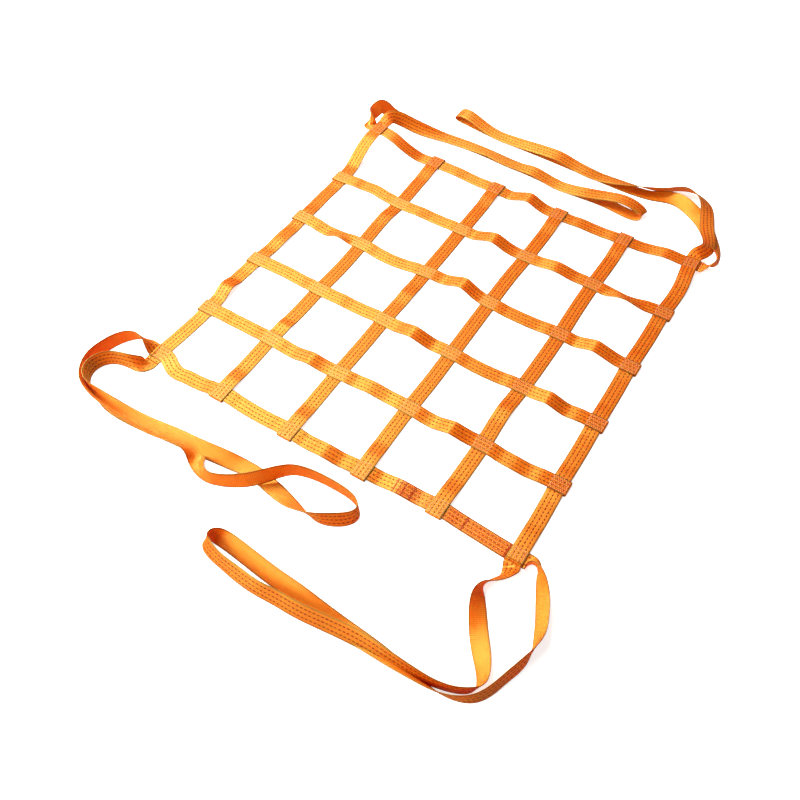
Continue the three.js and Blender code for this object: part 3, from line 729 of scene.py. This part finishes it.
def makeStitches(name, stops):
    verts, faces = [], []
    holeShadeVerts, holeShadeFaces = [], []
    lastRun = stops[-1][0] - patch["endClear"]
    for middle in crossingRuns(name):
        low, high = max(patch["endClear"], middle - patch["reach"]), min(lastRun, middle + patch["reach"])
        for i, aside in enumerate(patch["lines"]):
            run = low + (i % 2) * patch["pitch"] / 2
            while run + patch["length"] < high:
                lean = dice.uniform(-patch["lean"], patch["lean"])
                end, following = run + patch["length"], run + patch["pitch"]
                addThread(verts, faces, stops, (run, end), (aside - lean, aside + lean),
                          patch["width"], patch["height"])
                # a low dark ridge in the gap is painted shade of the needle hole
                if following < high:                  # the needle hole before the next stitch
                    addThread(holeShadeVerts, holeShadeFaces, stops, (end, following), (aside, aside),
                              patch["holeShadeWidth"], patch["holeShadeHeight"])
                run += patch["pitch"] * dice.uniform(*patch["spread"])
        for offset in patch["crossLines"]:
            run = middle + offset
            if not low <= run <= high - patch["endClear"]:
                continue
            runs = (run - patch["crossLean"], run + patch["crossLean"])
            aside = patch["crossFrom"]
            while aside + patch["crossLength"] < patch["crossTo"]:
                addThread(verts, faces, stops, runs, (aside, aside + patch["crossLength"]),
                          patch["width"], patch["height"])
                aside += patch["crossPitch"]
    return [finishThreads("sewn_patches_" + name, verts, faces, sewingThread),
            finishThreads("needle_hole_shade_" + name, holeShadeVerts, holeShadeFaces, barThread)]


for name in bands:
    if name in sewnCrossings:
        extras[name] += makeStitches(name, bands[name])

# Where the front border is joined: long lines of stitches, closed by dense red bars (place and length)
splice = dict(
    low=228.0, high=596.0, lines=(-19, -12.7, -6.4, 0, 6.4, 12.7, 19),
    pitch=6.4, length=4.2, width=1.5, height=0.3, lean=0.6, spread=(0.96, 1.04),
    bars=((240, 6), (254, 5), (268, 6), (291, 9), (384, 6), (462, 9), (598, 9)),
    barLines=13, barSpread=43.0, barFill=0.8, barHeight=0.4, barWander=0.5,
)


def makeSplice(stops):
    verts, faces = [], []
    low, high = (stopNear(stops, 0, splice[end])[0] for end in ("low", "high"))
    for i, aside in enumerate(splice["lines"]):
        run = low + (i % 2) * splice["pitch"] / 2
        while run + splice["length"] < high:
            lean = dice.uniform(-splice["lean"], splice["lean"])
            addThread(verts, faces, stops, (run, run + splice["length"]), (aside - lean, aside + lean),
                      splice["width"], splice["height"])
            run += splice["pitch"] * dice.uniform(*splice["spread"])
    lines = finishThreads("splice_stitches", verts, faces, sewingThread)
    verts, faces = [], []
    gap = splice["barSpread"] / (splice["barLines"] - 1)
    for x, length in splice["bars"]:
        for k in range(splice["barLines"]):
            aside = gap * k - splice["barSpread"] / 2
            middle = stopNear(stops, 0, x)[0] + dice.uniform(-splice["barWander"], splice["barWander"])
            addThread(verts, faces, stops, (middle - length / 2, middle + length / 2), (aside, aside),
                      gap * splice["barFill"], splice["barHeight"])
    return [lines, finishThreads("splice_bars", verts, faces, barThread)]


extras["edge_front"] += makeSplice(bands["edge_front"])
print("stitches made")

# Each band stands for its solid and rides with the net
for name, piece in pieces.items():
    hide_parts(name)
    for item in [piece, *extras[name]]:
        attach(item, "root")

# Floor, lights and camera
floorLook = dict(size=16.0, drop=0.0003, colour="#f0f0ee", roughness=0.9, glow=0.7)
bpy.ops.object.select_all(action="DESELECT")
bpy.ops.mesh.primitive_plane_add(size=floorLook["size"], location=(0, 0, 0))
floor = bpy.context.object
floor.name = "studio_floor"
bpy.ops.object.mode_set(mode="EDIT")
bpy.ops.mesh.select_all(action="SELECT")
bpy.ops.transform.translate(value=(0, 0, -floorLook["drop"]))
bpy.ops.object.mode_set(mode="OBJECT")
paper, tree = newMaterial("matt_studio_paper")        # even, pale and without gloss
shader = addNode(tree, "ShaderNodeBsdfPrincipled", {
    "Base Color": linear(floorLook["colour"]), "Roughness": floorLook["roughness"],
    "Emission Color": (1.0, 1.0, 1.0, 1.0), "Emission Strength": floorLook["glow"]})
addNode(tree, "ShaderNodeOutputMaterial", links={0: shader.outputs[0]})
floor.data.materials.append(paper)
floor.visible_glossy = False                          # keeps the white floor from veiling the satin

lights = dict(
    key=dict(place=(-2.4, 1.0, 4.2), aim=(0.0, 0.0, 0.0), size=2.2, power=300.0, tint=(1.0, 0.97, 0.9)),
    top=dict(place=(-2.0, 2.5, 3.6), aim=(0.0, 0.0, 0.0), size=2.6, power=70.0, tint=(1.0, 0.95, 0.84)),
    rake=dict(place=(-4.6, -0.4, 2.4), aim=(0.0, 0.1, 0.0), size=2.4, power=420.0, tint=(1.0, 0.97, 0.9)),
    front=dict(place=(-1.7, -3.9, 2.4), aim=(0.1, -0.4, 0.0), size=2.0, power=240.0, tint=(1.0, 0.98, 0.94)),
)
for name, light in lights.items():
    lamp = bpy.data.lights.new(name + "_softbox", "AREA")
    lamp.shape = "DISK"
    lamp.size = light["size"]
    lamp.energy = light["power"]
    lamp.color = light["tint"]
    stand = bpy.data.objects.new(name + "_softbox", lamp)
    stand.location = light["place"]
    stand.rotation_euler = (Vector(light["aim"]) - Vector(light["place"])).to_track_quat("-Z", "Y").to_euler()
    bpy.context.scene.collection.objects.link(stand)

air = dict(colour=(1.0, 1.0, 1.0, 1.0), strength=0.22)
world = bpy.data.worlds.new("studio_air")
world.use_nodes = True
world.node_tree.nodes["Background"].inputs[0].default_value = air["colour"]
world.node_tree.nodes["Background"].inputs[1].default_value = air["strength"]
bpy.context.scene.world = world
bpy.context.scene.view_settings.view_transform = "Standard"

# The camera stands at the photo's angle, in degrees and metres from the middle of the net
shot = dict(azimuth=32.23, elevation=54.06, distance=2.860, right=-0.11875, above=-0.28975,
            lens=39.78, sensor=36.0, far=50.0)
az, el = math.radians(shot["azimuth"]), math.radians(shot["elevation"])
rightWay = Vector((math.cos(az), math.sin(az), 0))
backWay = Vector((math.sin(az) * math.cos(el), -math.cos(az) * math.cos(el), math.sin(el)))
upWay = backWay.cross(rightWay)
eye = backWay * shot["distance"] + rightWay * shot["right"] + upWay * shot["above"]
eye += Vector((*net["centre"], 0)) * mm
cameraData = bpy.data.cameras.new("photo_camera")
cameraData.sensor_width = shot["sensor"]
cameraData.lens = shot["lens"]
cameraData.clip_end = shot["far"]
camera = bpy.data.objects.new("photo_camera", cameraData)
camera.matrix_world = Matrix((
    (rightWay.x, upWay.x, backWay.x, eye.x),
    (rightWay.y, upWay.y, backWay.y, eye.y),
    (rightWay.z, upWay.z, backWay.z, eye.z),
    (0, 0, 0, 1)))
bpy.context.scene.collection.objects.link(camera)
bpy.context.scene.camera = camera
print("scene set")
